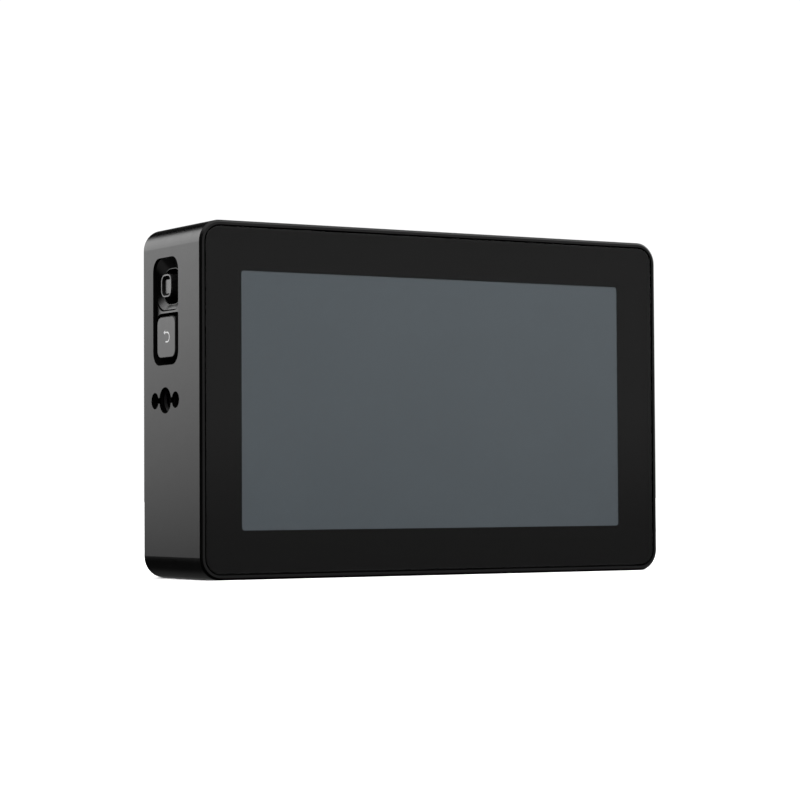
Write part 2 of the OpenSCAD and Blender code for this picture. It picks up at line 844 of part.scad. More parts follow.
module power_switch() {
  back_s = switch_body_s + switch_body_t;
  color(plastic_black) difference() {
    right_prism(switch_body_s, back_s)
      translate([switch_depth, switch_rise]) square(switch_body_w, center = true);
    right_prism(switch_body_s - over, switch_plunger_end + switch_travel + switch_spring_room)
      translate([switch_depth, switch_rise]) circle(switch_plunger_r + plunger_gap);
  }
}

module power_plunger() {
  color(plastic_grey) right_prism(wall + loose_gap + switch_collar_t, switch_plunger_end)
    translate([switch_depth, switch_rise]) circle(switch_plunger_r);
}

module power_button() {
  color(plastic_grey) difference() {
    union() {
      right_prism(switch_top, wall + loose_gap + 0.1)
        translate([switch_depth, switch_rise]) circle(switch_r);
      right_prism(wall + loose_gap, wall + loose_gap + switch_collar_t)
        translate([switch_depth, switch_rise]) circle(switch_collar_r);
    }
    right_prism(switch_top - over, switch_top + mark_t) translate([switch_depth, switch_rise]) power_sign();
  }
}

module power_mark() {
  color("white") right_prism(switch_top, switch_top + mark_t)
    translate([switch_depth, switch_rise]) power_sign();
}

// Open ring with a bar through its gap
module power_sign() {
  difference() {
    circle(power_r);
    circle(power_r - mark_stroke);
    translate([-power_gap / 2, 0]) square([power_gap, power_r + over]);
  }
  translate([-mark_stroke / 2, power_r + mark_stroke - power_bar]) square([mark_stroke, power_bar]);
}

// ---------- left controls ----------

module control_bezel() {
  color(plastic_black) difference() {
    union() {
      left_prism(bezel_inset, wall + over / 2) intersection() {
        translate([control_depth, opening_rise])
          rounded_rect(opening_w - 2 * fit_gap, opening_h - 2 * fit_gap, opening_r - fit_gap);
        translate([0, ridge_z]) square([2 * control_depth, opening_h]);
      }
      left_prism(wall, bezel_back) translate([control_depth, opening_rise])
        rounded_rect(opening_w + 2 * bezel_overlap, opening_h + 2 * bezel_overlap, opening_r);
      for (p = bezel_posts) left_prism(bezel_back - over / 2, side_board_s) translate(p) circle(bezel_post_r);
    }
    translate([-body_w / 2 + bezel_inset, front_y + control_depth, mid_z + stick_z])
      rotate([90, 0, 90]) well_cutter();
    left_prism(bezel_inset - over, bezel_back + over) at_stick() rounded_rect(well_w, well_h, 3.2);
    left_prism(wall - over, bezel_back + over) at_button() circle(button_stem_r + loose_gap);
    for (p = bezel_posts)
      left_prism(side_board_s - bezel_screw_l, side_board_s + over)
        translate(p) circle(small_screw_r + screw_gap);
  }
}

// Flare that opens towards the face
module well_cutter() {
  flare_d = 0.9;
  translate([0, 0, -0.001])
    chamfered_bar(well_w + 2 * well_flare, well_h + 2 * well_flare, flare_d, 3.2 + well_flare,
                  0.001, 0.001, flare_d - 0.002, well_flare);
}

module side_board() {
  color(board_green) difference() {
    left_prism(side_board_s, side_board_s + side_board_t) translate([control_depth, opening_rise])
      rounded_rect(opening_w + 2 * bezel_overlap - 1, opening_h + 2 * bezel_overlap - 1, 1.5);
    for (p = bezel_posts)
      left_prism(side_board_s - over, side_board_s + side_board_t + over)
        translate(p) circle(small_screw_r + screw_gap);
  }
}

side_screw_grip = 4;

module side_board_screws() {
  inner = side_board_s + side_board_t;
  color(steel) for (p = bezel_posts) difference() {
    union() {
      left_prism(side_board_s - side_screw_grip, inner) translate(p) circle(small_screw_r);
      left_prism(inner, inner + head_t) translate(p) circle(small_head_r);
    }
    left_prism(inner + head_t / 2, inner + head_t + over) translate(p) circle(small_screw_r, $fn = 6);
  }
}

side_ribbon_w = 8;
side_ribbon_drop = 6.5;
side_ribbon_z = opening_rise - side_ribbon_drop;
side_ribbon_run = 4;
side_ribbon_turn = 2;
side_plug_in = 6;
side_plug_x = -board_left + side_plug_in;

module side_ribbon() {
  start_x = -body_w / 2 + side_board_s + side_board_t;
  plug_x = side_plug_x - connector_h / 2;
  turn_x = plug_x - side_ribbon_turn;
  far_y = control_depth + side_ribbon_run;
  end_y = board_back + connector_t / 2;
  color(ribbon_amber) translate([0, front_y, mid_z + side_ribbon_z - side_ribbon_w / 2])
    linear_extrude(height = side_ribbon_w) {
      band_step([start_x + ribbon_t / 2, control_depth], [start_x + ribbon_t / 2, far_y], ribbon_t);
      band_step([start_x + ribbon_t / 2, far_y], [turn_x, far_y], ribbon_t);
      band_step([turn_x, far_y], [turn_x, end_y], ribbon_t);
      band_step([turn_x, end_y], [plug_x - ribbon_t / 2, end_y], ribbon_t);
    }
}

module stick_base() {
  color(plastic_black) difference() {
    left_prism(stick_base_s, side_board_s) at_stick() square(stick_base_w, center = true);
    left_prism(stick_base_s + 0.6, side_board_s - 0.3) at_stick() circle(stick_cavity_r);
    left_prism(stick_base_s - over, side_board_s - over) at_stick() circle(stick_mouth_r);
    // pivot holes for the rocker's two pins, one above and one below
    translate([-body_w / 2 + pivot_depth, front_y + control_depth, mid_z + stick_z])
      cylinder(r = pivot_pin_r + pivot_gap, h = stick_base_w - 0.4, center = true);
  }
}

module at_pivot() {
  translate([-body_w / 2 + pivot_depth, front_y + control_depth, mid_z + stick_z]) children();
}

module stick_rocker() {
  color(steel) at_pivot() difference() {
    union() {
      rotate([0, 90, 0]) cylinder(r = rocker_out_r, h = rocker_t, center = true);
      for (s = [-1, 1])
        translate([0, 0, s * (rocker_out_r + 0.25)])
          cylinder(r = pivot_pin_r, h = 1, center = true);
    }
    rotate([0, 90, 0]) cylinder(r = rocker_in_r, h = rocker_t + over, center = true);
    rotate([90, 0, 0]) cylinder(r = pivot_pin_r + pivot_gap, h = 2 * rocker_out_r + over, center = true);
  }
}

module stick_stem() {
  color(steel) {
    at_pivot() sphere(stem_hub_r);
    at_pivot() rotate([90, 0, 0]) cylinder(r = pivot_pin_r, h = 2 * rocker_out_r - 0.3, center = true);
    left_prism(stem_top, pivot_depth) at_stick() circle(stem_r);
  }
}

module stick_cap() {
  color(plastic_grey) difference() {
    union() {
      translate([-body_w / 2 + stick_top, front_y + control_depth, mid_z + stick_z]) rotate([90, 0, 90])
        chamfered_bar(stick_w, stick_h, stem_top + 1.6 - stick_top, stick_r, 0.12, 0.12, 0.1, 0.1);
    }
    left_prism(stick_top - over, stick_top + stick_groove_d) at_stick() difference() {
      rounded_rect(stick_w - 2 * stick_rim, stick_h - 2 * stick_rim, stick_r - stick_rim);
      rounded_rect(stick_pad_w, stick_pad_h, 0.5);
    }
    left_prism(stick_top - over, stick_top + stick_pad_inset) at_stick()
      rounded_rect(stick_w - 2 * stick_rim, stick_h - 2 * stick_rim, stick_r - stick_rim);
    left_prism(stem_top - stick_press - 0.1, stem_top + 3) at_stick() circle(stem_r + pivot_gap);
  }
}

module back_switch() {
  color(plastic_black) difference() {
    left_prism(back_switch_s, side_board_s) at_button() square(back_switch_w, center = true);
    left_prism(back_switch_s - over, plunger_end + button_travel + 0.3)
      at_button() circle(plunger_r + plunger_gap);
  }
}

module back_plunger() {
  color(plastic_grey) left_prism(plunger_top, plunger_end) at_button() circle(plunger_r);
}

module back_button() {
  color(plastic_grey) difference() {
    union() {
      translate([-body_w / 2 + button_top, front_y + control_depth, mid_z + button_z]) rotate([90, 0, 90])
        chamfered_bar(button_w, button_h, button_t, button_r, button_edge, button_edge, 0.1, 0.1);
      left_prism(button_top + button_t - 0.2, plunger_top) at_button() circle(button_stem_r);
      left_prism(bezel_back + loose_gap, bezel_back + loose_gap + button_collar_t)
        at_button() circle(button_collar_r);
    }
    left_prism(button_top - over, button_top + mark_t) at_button() return_sign();
  }
}

module back_mark() {
  color("white") left_prism(button_top, button_top + mark_t) at_button() return_sign();
}

// Return arrow: two bars joined by a half ring, with an arrow head
module return_sign() {
  translate([mark_shift, 0]) {
    difference() {
      circle(mark_r + mark_stroke / 2);
      circle(mark_r - mark_stroke / 2);
      translate([0, -2 * mark_r]) square([2 * mark_r, 4 * mark_r]);
    }
    translate([-mark_lap, mark_r - mark_stroke / 2]) square([mark_r, mark_stroke]);
    translate([-mark_lap, -mark_r - mark_stroke / 2]) square([mark_tail, mark_stroke]);
    translate([arrow_x, mark_r]) polygon([[0, -arrow_half], [arrow_l, 0], [0, arrow_half]]);
  }
}

// ---------- threaded mounts ----------

module nut_plate_sketch() {
  square([nut_plate_w - 0.2, nut_plate_h - 0.2], center = true);
}

module nut_plates() {
  near = nut_plate_d;
  far = near + nut_plate_t;
  end = far - thread_floor;
  color(steel) difference() {
    union() {
      left_prism(near, far) at_side_mount() nut_plate_sketch();
      right_prism(near, far) at_side_mount() nut_plate_sketch();
      bottom_prism(near, far) translate([0, mount_depth]) nut_plate_sketch();
    }
    left_prism(near - over, end) at_side_mount() circle(thread_r);
    right_prism(near - over, end) at_side_mount() circle(thread_r);
    bottom_prism(near - over, end) translate([0, mount_depth]) circle(thread_r);
  }
}

// ---------- rear cover and battery bay ----------

module rear_cover() {
  plate_outer_w = body_w - 2 * rear_rim - 2 * fit_gap;
  plate_outer_h = body_h - 2 * rear_rim - 2 * fit_gap;
  color(plastic_black) difference() {
    union() {
      face_bar(plate_outer_w, plate_outer_h, cover_in, cover_out, corner_r - rear_rim - fit_gap, 0.1, 0.3);
      face_prism(bay_back, cover_in + over / 2) rounded_rect(bay_w + 2 * bay_wall, bay_h + 2 * bay_wall, 3);
      latch_pocket_wall();
      for (x = plate_screw_x, s = [-1, 1])
        face_prism(bay_seat - plate_screw_l, bay_seat - 0.5)
          translate([x, s * plate_screw_z]) circle(plate_boss_r);
    }
    face_prism(bay_seat, cover_out + over) rounded_rect(bay_w, bay_h, 1.4);
    latch_pocket_cut();
    for (x = plate_screw_x, s = [-1, 1])
      face_prism(bay_seat - plate_screw_l + 0.6, bay_seat + over)
        translate([x, s * plate_screw_z]) circle(small_screw_r + screw_gap);
    for (z = contact_z)
      face_prism(bay_back - over, bay_seat + over) contact_tail_slot(z, 0.1);
    for (p = cover_posts) {
      face_prism(cover_in - over, cover_out + over) translate(p) circle(large_screw_r + screw_gap);
      face_prism(cover_out - head_t - 0.1, cover_out + over) translate(p) circle(large_head_r + screw_gap);
    }
    cooling_slots();
  }
}

module latch_pocket_wall() {
  pocket = latch_flange + latch_side_gap + 0.3;
  face_prism(bay_seat - latch_pocket_d - latch_floor, bay_seat - 0.5)
    translate([latch_x + latch_w / 2, 0])
      square([latch_w + 2 * pocket + 2 * latch_floor, latch_h + 2 * pocket + 2 * latch_floor], center = true);
}

module latch_pocket_cut() {
  pocket = latch_flange + latch_side_gap + 0.3;
  face_prism(bay_seat - latch_pocket_d, bay_seat + over)
    translate([latch_x + latch_w / 2, 0]) square([latch_w + 2 * pocket, latch_h + 2 * pocket], center = true);
}

module cooling_slots() {
  band_z = (bay_h / 2 + bay_wall + cover_post_z - cover_post_r) / 2;
  last = floor(bay_w / 2 / slot_pitch);
  for (i = [-last:last], s = [-1, 1])
    face_prism(cover_in - over, cover_out + over)
      translate([i * slot_pitch, s * band_z]) rounded_rect(slot_w, slot_h, slot_w / 2 - 0.01);
}

module cover_screws() {
  color(steel) for (p = cover_posts)
    rear_screw(p[0], p[1], cover_out - head_t - 0.1, large_screw_r, large_head_r, cover_screw_l - 1);
}

module contact_tail_slot(z, gap) {
  translate([block_x + 0.8, z - contact_t / 2 - gap]) square([1.5 + gap, contact_t + 2 * gap]);
}

module battery_plate() {
  color(plastic_black) difference() {
    union() {
      face_prism(bay_seat, plate_face) rounded_rect(plate_w, plate_h, 1);
      face_prism(plate_face - over / 2, plate_face + block_t)
        translate([block_x, -block_h / 2]) square([block_w, block_h]);
      for (x = hook_x, s = [-1, 1]) hook(x, s);
    }
    face_prism(bay_seat - over, plate_face + over)
      translate([latch_x + latch_w / 2, 0])
        square([latch_w + 2 * latch_side_gap, latch_h + 2 * latch_side_gap], center = true);
    for (z = contact_z) {
      face_prism(bay_seat - over, plate_face + contact_rise) contact_tail_slot(z, 0);
      contact_blade(z, 0);
    }
    for (x = plate_screw_x, s = [-1, 1]) {
      face_prism(bay_seat - over, plate_face + over)
        translate([x, s * plate_screw_z]) circle(small_screw_r + screw_gap);
      face_prism(plate_face - head_t - 0.1, plate_face + over)
        translate([x, s * plate_screw_z]) circle(small_head_r + screw_gap);
    }
  }
}

// L-shaped hook that holds the battery's side rail
module hook(x, s) {
  inner_z = battery_w / 2 + hook_gap;
  face_prism(plate_face - over / 2, plate_face + hook_h)
    translate([x - hook_l / 2, s > 0 ? inner_z : -inner_z - (plate_h / 2 - inner_z)])
      square([hook_l, plate_h / 2 - inner_z]);
  face_prism(plate_face + hook_h - hook_lip_t, plate_face + hook_h)
    translate([x - hook_l / 2, s > 0 ? inner_z - hook_lip : -inner_z]) square([hook_l, hook_lip]);
}

module contact_blade(z, gap) {
  face_prism(plate_face + contact_rise - gap, plate_face + contact_rise + contact_b + gap)
    translate([block_x + 0.8, z - contact_t / 2 - gap])
      square([block_w - 0.8 + contact_reach, contact_t + 2 * gap]);
}

module battery_contacts() {
  color(gold) for (z = contact_z) {
    contact_blade(z, 0);
    face_prism(bay_seat - contact_tail, plate_face + contact_rise + 0.01) contact_tail_slot(z, 0);
  }
}

contact_board_t = 1;
contact_board_w = 6;
contact_board_in = 1.5;
contact_board_d = bay_seat - contact_tail;

module contact_board() {
  color(board_green) face_prism(contact_board_d - contact_board_t, contact_board_d)
    translate([block_x + contact_board_in, 0]) square([contact_board_w, block_h], center = true);
}

module battery_wires() {
  color([0.5, 0.08, 0.06]) for (z = contact_z)
    face_prism(board_back, contact_board_d - contact_board_t) translate([block_x + contact_board_in, z]) circle(0.6);
}

module plate_screws() {
  color(steel) for (x = plate_screw_x, s = [-1, 1])
    rear_screw(x, s * plate_screw_z, plate_face - head_t - 0.1, small_screw_r, small_head_r,
               plate_screw_l - 0.5);
}

// Release: a pad whose left edge stands behind the battery's end
module battery_release() {
  top = plate_face + latch_rise;
  under = bay_seat - latch_gap - latch_flange_t;
  color(plastic_grey) difference() {
    union() {
      face_prism(under, top) translate([latch_x + latch_w / 2, 0]) square([latch_w, latch_h], center = true);
      face_prism(under, under + latch_flange_t) translate([latch_x + latch_w / 2, 0])
        square([latch_w + 2 * latch_flange, latch_h + 2 * latch_flange], center = true);
    }
    // finger grooves
    for (i = [0:3])
      face_prism(top - 0.4, top + over)
        translate([latch_x + 2.4 + i * 1.8, 0]) square([0.8, latch_h - 3], center = true);
    // spring seat
    face_prism(under - over, under + 0.6)
      translate([latch_x + latch_w / 2, 0]) circle(spring_r + spring_wire);
  }
}

// Ring of a swept wire: centre, direction angle, ring index
function coil_point(a, r, pitch) = [r * cos(a), r * sin(a), pitch * a / 360];
function wire_ring(a, r, pitch, wr, n) = [
  for (k = [0:n - 1])
    coil_point(a, r, pitch)
      + wr * cos(360 * k / n) * [cos(a), sin(a), 0]
      + wr * sin(360 * k / n) * [0, 0, 1]
];

// Coil of round wire standing on z = 0
module coil_spring(r, wr, length, turns, steps) {
  n = 6;
  pitch = (length - 2 * wr) / turns;
  rings = turns * steps;
  points = [for (i = [0:rings]) each wire_ring(360 * i / steps, r, pitch, wr, n)];
  sides = [
    for (i = [0:rings - 1], k = [0:n - 1])
      each [
        [i * n + k, i * n + (k + 1) % n, (i + 1) * n + (k + 1) % n],
        [i * n + k, (i + 1) * n + (k + 1) % n, (i + 1) * n + k]
      ]
  ];
  first = [for (k = [1:n - 2]) [0, k + 1, k]];
  last = [for (k = [1:n - 2]) [rings * n, rings * n + k, rings * n + k + 1]];
  translate([0, 0, wr]) polyhedron(points = points, faces = concat(first, sides, last));
}

module release_spring() {
  floor_d = bay_seat - latch_pocket_d;
  seat_d = bay_seat - latch_gap - latch_flange_t + 0.6;
  color(steel) translate([latch_x + latch_w / 2, front_y + floor_d, mid_z]) rotate([-90, 0, 0])
    coil_spring(spring_r, spring_wire / 2, seat_d - floor_d, spring_turns, spring_steps);
}

housing();
cover_glass();
border_film();
glass_adhesive();
display_cell();
backlight_unit();
display_bracket();
bracket_screws();
display_ribbon();
touch_ribbon();
board_standoffs();
main_board();
board_screws();
processor();
heat_pad();
heat_sink();
heat_sink_screws();
ribbon_connectors();
power_coils();
hdmi_shell();
hdmi_tongue();
phone_socket();
power_socket();
power_socket_pin();
power_switch();
power_plunger();
power_button();
power_mark();
control_bezel();
side_board();
side_board_screws();
side_ribbon();
stick_base();
stick_rocker();
stick_stem();
stick_cap();
back_switch();
back_plunger();
back_button();
back_mark();
nut_plates();
rear_cover();
cover_screws();
battery_plate();
plate_screws();
battery_contacts();
contact_board();
battery_wires();
battery_release();
release_spring();
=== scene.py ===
"""Looks of the on-camera field monitor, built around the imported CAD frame.

Metres, +X right, +Y rear, +Z up. Sizes of pieces are written in millimetres.
"""

import json
import math

import bmesh
import bpy
from mathutils import Matrix, Vector


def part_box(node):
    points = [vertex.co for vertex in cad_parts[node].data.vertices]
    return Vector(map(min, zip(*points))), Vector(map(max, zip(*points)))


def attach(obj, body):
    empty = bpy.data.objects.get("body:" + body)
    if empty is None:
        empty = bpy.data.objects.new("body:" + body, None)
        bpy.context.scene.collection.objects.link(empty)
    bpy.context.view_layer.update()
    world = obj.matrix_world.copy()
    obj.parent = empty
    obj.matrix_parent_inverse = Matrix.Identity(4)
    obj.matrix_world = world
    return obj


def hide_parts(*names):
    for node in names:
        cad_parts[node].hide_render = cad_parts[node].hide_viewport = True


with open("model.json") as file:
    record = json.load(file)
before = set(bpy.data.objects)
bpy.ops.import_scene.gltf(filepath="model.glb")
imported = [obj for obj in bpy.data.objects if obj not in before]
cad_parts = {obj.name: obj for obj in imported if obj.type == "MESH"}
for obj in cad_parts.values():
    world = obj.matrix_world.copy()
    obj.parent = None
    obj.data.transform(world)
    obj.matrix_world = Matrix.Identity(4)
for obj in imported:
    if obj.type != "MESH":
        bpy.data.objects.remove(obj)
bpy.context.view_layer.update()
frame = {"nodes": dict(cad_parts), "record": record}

NODES = frame["nodes"]
MM = 0.001


def box_mm(node):
    """Lowest and highest corner of a CAD node, in millimetres."""
    low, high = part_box(node)
    return low / MM, high / MM


def middle_mm(node):
    """Middle of a CAD node's box, in millimetres."""
    low, high = box_mm(node)
    return (low + high) / 2


def grey(level):
    """Neutral colour."""
    return (level, level, level, 1)


def shade(tone, factor):
    """A colour made lighter or darker."""
    return tuple(c * factor for c in tone[:3]) + (1,)


# ---------- material helpers ----------

class Tree:
    """A short way to write a node tree."""

    def __init__(self, owner):
        owner.use_nodes = True
        self.tree = owner.node_tree
        self.tree.nodes.clear()

    def node(self, kind, settings=None, **inputs):
        made = self.tree.nodes.new(kind)
        for key, value in (settings or {}).items():
            setattr(made, key, value)
        for key, value in inputs.items():
            self.feed(made, key.replace("_", " "), value)
        return made

    def feed(self, node, key, value):
        socket = node.inputs[int(key)] if key.isdigit() else node.inputs[key]
        if isinstance(value, bpy.types.NodeSocket):
            self.tree.links.new(value, socket)
        else:
            socket.default_value = value

    def math(self, operation, a, b=0.0, clamp=False):
        made = self.tree.nodes.new("ShaderNodeMath")
        made.operation, made.use_clamp = operation, clamp
        self.feed(made, "0", a)
        self.feed(made, "1", b)
        return made.outputs[0]

    def span(self, value, low, high, to_low=0.0, to_high=1.0, smooth=False):
        """Carries the range from low to high over to another one, and stops at its ends."""
        made = self.tree.nodes.new("ShaderNodeMapRange")
        made.interpolation_type = "SMOOTHSTEP" if smooth else "LINEAR"
        keys = ("Value", "From Min", "From Max", "To Min", "To Max")
        for key, given in zip(keys, (value, low, high, to_low, to_high)):
            self.feed(made, key, given)
        return made.outputs["Result"]

    def mix_colour(self, share, a, b):
        made = self.tree.nodes.new("ShaderNodeMix")
        made.data_type = "RGBA"
        self.feed(made, "0", share)
        self.feed(made, "6", a)
        self.feed(made, "7", b)
        return made.outputs[2]

    def place(self, stretch=(1, 1, 1)):
        """Coordinates in millimetres of the row frame, stretched along an axis if asked."""
        where = self.node("ShaderNodeTexCoord").outputs["Object"]
        scaled = self.node("ShaderNodeMapping", {"vector_type": "POINT"}, Vector=where)
        scaled.inputs["Scale"].default_value = tuple(share / MM for share in stretch)
        return scaled.outputs["Vector"]

    def noise(self, where, size, detail=3.0, rough=0.55):
        made = self.node("ShaderNodeTexNoise", Vector=where, Scale=1.0 / size, Detail=detail, Roughness=rough)
        return made.outputs["Fac"]

    def cells(self, where, size):
        made = self.node("ShaderNodeTexVoronoi", Vector=where, Scale=1.0 / size)
        return made.outputs["Distance"]

    def dot(self, a, b):
        made = self.node("ShaderNodeVectorMath", {"operation": "DOT_PRODUCT"})
        self.feed(made, "0", a)
        self.feed(made, "1", b)
        return made.outputs["Value"]

    def mix_shaders(self, share, a, b):
        made = self.node("ShaderNodeMixShader")
        self.feed(made, "0", share)
        self.feed(made, "1", a.outputs[0])
        self.feed(made, "2", b.outputs[0])
        return made.outputs[0]


def surface(name, tone, rough, metal=0.0, grain=0.12, relief=0.004, spread=0.12, mottle=9.0,
            wear=0.0, wear_tone=None, round_edge=0.08, stretch=(1, 1, 1), pebbled=False,
            coat=0.0, level=0.5, shade_reach=0.0, shade_own=False):
    """A solid finish: mottled tone, uneven gloss and fine grain, and worn edges where wear is above 0.

    The sizes grain, relief, mottle, round_edge and shade_reach are in millimetres. Where shade_reach is
    above 0, painted shade takes the shine off recesses narrower than that, found by ambient occlusion, and
    with shade_own only the piece's own walls make that shade.
    """
    mat = bpy.data.materials.new(name)
    t = Tree(mat)
    where = t.place(stretch)
    broad = t.noise(where, mottle)
    fine = t.cells(where, grain) if pebbled else t.noise(where, grain, detail=4.0)
    colour = t.mix_colour(t.span(broad, 0.3, 0.7), shade(tone, 1 - spread), shade(tone, 1 + spread))
    colour = t.mix_colour(t.span(fine, 0.35, 0.65, 0, 0.35), colour, shade(tone, 1 - 2 * spread))
    smudge = t.noise(where, mottle * 0.37)
    gloss = t.span(smudge, 0.25, 0.75, rough * 0.92, rough * 1.1)
    soft = t.node("ShaderNodeBevel", {"samples": 4}, Radius=round_edge * MM).outputs["Normal"]
    if wear > 0:
        flat = t.node("ShaderNodeNewGeometry").outputs["Normal"]
        edge = t.span(t.dot(soft, flat), 0.985, 0.8)
        scuff = t.span(t.noise(where, 1.3, detail=6.0), 0.42, 0.7)
        worn = t.math("MULTIPLY", t.math("MULTIPLY", edge, scuff), wear, clamp=True)
        colour = t.mix_colour(worn, colour, wear_tone or shade(tone, 2.2))
    bump = t.node("ShaderNodeBump", Height=fine, Normal=soft, Strength=1.0)
    bump.inputs["Distance"].default_value = relief * MM
    shader = t.node("ShaderNodeBsdfPrincipled", Base_Color=colour, Roughness=gloss, Metallic=metal)
    shader.inputs["Coat Weight"].default_value = coat
    # Painted shade: ambient occlusion lowers the shine's level in recesses
    if shade_reach > 0:
        sky = t.node("ShaderNodeAmbientOcclusion", {"samples": 8, "only_local": shade_own},
                     Distance=shade_reach * MM)
        level = t.math("MULTIPLY", t.span(sky.outputs["AO"], 0.45, 0.95, smooth=True), level)
    t.feed(shader, "Specular IOR Level", level)
    t.feed(shader, "Normal", bump.outputs["Normal"])
    t.node("ShaderNodeOutputMaterial", Surface=shader.outputs[0])
    return mat


def pane_material():
    """Polished cover glass: clear, with a Fresnel reflection that a faint film of handling makes uneven."""
    mat = bpy.data.materials.new("pane_glass")
    t = Tree(mat)
    where = t.place()
    haze = t.span(t.noise(where, 22.0, detail=5.0), 0.35, 0.75, 0.012, 0.035)
    clear = t.node("ShaderNodeBsdfTransparent", Color=(0.97, 0.975, 0.97, 1))
    mirror = t.node("ShaderNodeBsdfGlossy", Color=grey(1.0), Roughness=haze)
    outside = t.math("SUBTRACT", 1.0, t.node("ShaderNodeNewGeometry").outputs["Backfacing"])
    share = t.math("MULTIPLY", t.node("ShaderNodeFresnel", IOR=1.5).outputs[0], outside)
    t.node("ShaderNodeOutputMaterial", Surface=t.mix_shaders(share, clear, mirror))
    return mat


def display_material():
    """Switched-off display: cool grey polariser over a fine pixel grid."""
    mat = bpy.data.materials.new("display_off")
    t = Tree(mat)
    where = t.place()
    tone, pixel = (0.0523, 0.0608, 0.0697, 1), 0.12
    broad = t.noise(where, 30.0, detail=2.0)
    grid = t.node("ShaderNodeTexChecker", Vector=where, Scale=1.0 / pixel, Color1=grey(1.0), Color2=grey(0.0))
    colour = t.mix_colour(t.span(broad, 0.3, 0.7), shade(tone, 0.985), shade(tone, 1.015))
    colour = t.mix_colour(t.math("MULTIPLY", grid.outputs["Fac"], 0.04), colour, shade(tone, 0.8))
    gloss = t.span(broad, 0.3, 0.7, 0.5, 0.56)
    shader = t.node("ShaderNodeBsdfPrincipled", Base_Color=colour, Roughness=gloss)
    shader.inputs["Specular IOR Level"].default_value = 0.1
    t.node("ShaderNodeOutputMaterial", Surface=shader.outputs[0])
    return mat


# ---------- finishes ----------

STEEL = (0.55, 0.55, 0.56, 1)
GOLD = (0.78, 0.56, 0.24, 1)
# Finishes given a shade_reach carry painted shade on their shine in recesses
FINISHES = {
    "housing_metal": surface("housing_coat", grey(0.0015), 0.24, grain=0.11, relief=0.002, wear=0.3,
                             wear_tone=grey(0.02), round_edge=0.04, shade_reach=3.0, shade_own=True),
    "black_film": surface("border_print", grey(0.0008), 0.6, grain=0.3, relief=0.0005, level=0.0),
    # Foam tape, and also the matt black sheets of painted shade in the side opening and the mount slots
    "adhesive": surface("foam_tape_and_shade_sheet", grey(0.004), 0.9, grain=0.2, relief=0.02, level=0.0),
    "display": display_material(),
    "backlight": surface("backlight_case", STEEL, 0.35, metal=1.0, stretch=(0.1, 1, 1)),
    "sheet_steel": surface("pressed_steel", STEEL, 0.38, metal=1.0, stretch=(0.1, 1, 1)),
    "screws": surface("screw_steel", STEEL, 0.3, metal=1.0, grain=0.05),
    "black_screws": surface("black_oxide", grey(0.035), 0.42, metal=0.6, grain=0.06, wear=0.4,
                            round_edge=0.05),
    "ribbon": surface("ribbon_film", (0.42, 0.19, 0.04, 1), 0.35, grain=0.4, stretch=(4, 1, 0.2)),
    "brass_posts": surface("turned_brass", (0.7, 0.5, 0.2, 1), 0.3, metal=1.0),
    "circuit_board": surface("solder_mask", (0.012, 0.075, 0.035, 1), 0.32, grain=0.5, relief=0.01,
                             mottle=3.0, spread=0.25, coat=0.3),
    "chip": surface("chip_epoxy", grey(0.02), 0.6),
    "heat_pad": surface("heat_pad_gum", (0.33, 0.38, 0.43, 1), 0.8),
    "bare_aluminium": surface("bare_aluminium", grey(0.6), 0.4, metal=1.0, stretch=(1, 1, 0.08)),
    "connector_plastic": surface("connector_body", (0.62, 0.58, 0.47, 1), 0.55),
    "ferrite": surface("coil_ferrite", grey(0.05), 0.7, grain=0.2, relief=0.02),
    "socket_metal": surface("socket_plating", grey(0.6), 0.28, metal=1.0, grain=0.05, round_edge=0.04),
    "inner_plastic": surface("inner_plastic", grey(0.012), 0.5),
    "contact_metal": surface("contact_gold", GOLD, 0.25, metal=1.0, grain=0.05),
    "key_plastic": surface("key_satin", grey(0.006), 0.32, grain=0.09, relief=0.002, wear=0.2,
                           wear_tone=grey(0.03), level=1.0, shade_reach=3.0),
    "stick_plastic": surface("stick_satin", grey(0.008), 0.3, grain=0.09, relief=0.002, wear=0.25,
                             wear_tone=grey(0.03), level=1.0, coat=0.35),
    "white_mark": surface("white_print", grey(0.85), 0.5, grain=0.06, spread=0.03),
    "bezel_plastic": surface("bezel_satin", grey(0.0015), 0.24, grain=0.09, relief=0.002, shade_reach=1.6),
    "nut_steel": surface("black_nut", grey(0.012), 0.4, grain=0.08, shade_reach=4.0),
    "cover_plastic": surface("cover_texture", grey(0.018), 0.5, grain=0.28, relief=0.02, wear=0.25,
                             pebbled=True),
    "plate_plastic": surface("plate_texture", grey(0.014), 0.48, grain=0.2, relief=0.012, wear=0.3,
                             pebbled=True),
    "wire_jacket": surface("wire_jacket", (0.3, 0.01, 0.01, 1), 0.5),
    "spring_steel": surface("spring_wire", STEEL, 0.25, metal=1.0),
    "glass": pane_material(),
}


def dress(piece, mat):
    """Gives a whole piece one material."""
    piece.data.materials.clear()
    piece.data.materials.append(mat)


for part in frame["record"]["subparts"]:
    dress(NODES[part["node"]], FINISHES[part["material_slot"]])


# ---------- mesh helpers ----------

def rounded_loop(w, h, r, steps=8):
    """Points of a rounded rectangle in its own plane, anticlockwise, centred."""
    points = []
    for k, (sx, sy) in enumerate(((1, 1), (-1, 1), (-1, -1), (1, -1))):
        for i in range(steps + 1):
            a = math.radians(90 * k + 90 * i / steps)
            points.append((sx * (w / 2 - r) + r * math.cos(a), sy * (h / 2 - r) + r * math.sin(a)))
    return points


def new_piece(name, bm, node, slot, body="chassis"):
    """Makes an object of a bmesh, dressed in a slot's finish and riding a body."""
    mesh = bpy.data.meshes.new(name)
    bm.to_mesh(mesh)
    bm.free()
    piece = bpy.data.objects.new(name, mesh)
    bpy.context.scene.collection.objects.link(piece)
    dress(piece, FINISHES[slot])
    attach(piece, body)
    if node:
        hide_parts(node)
    return piece


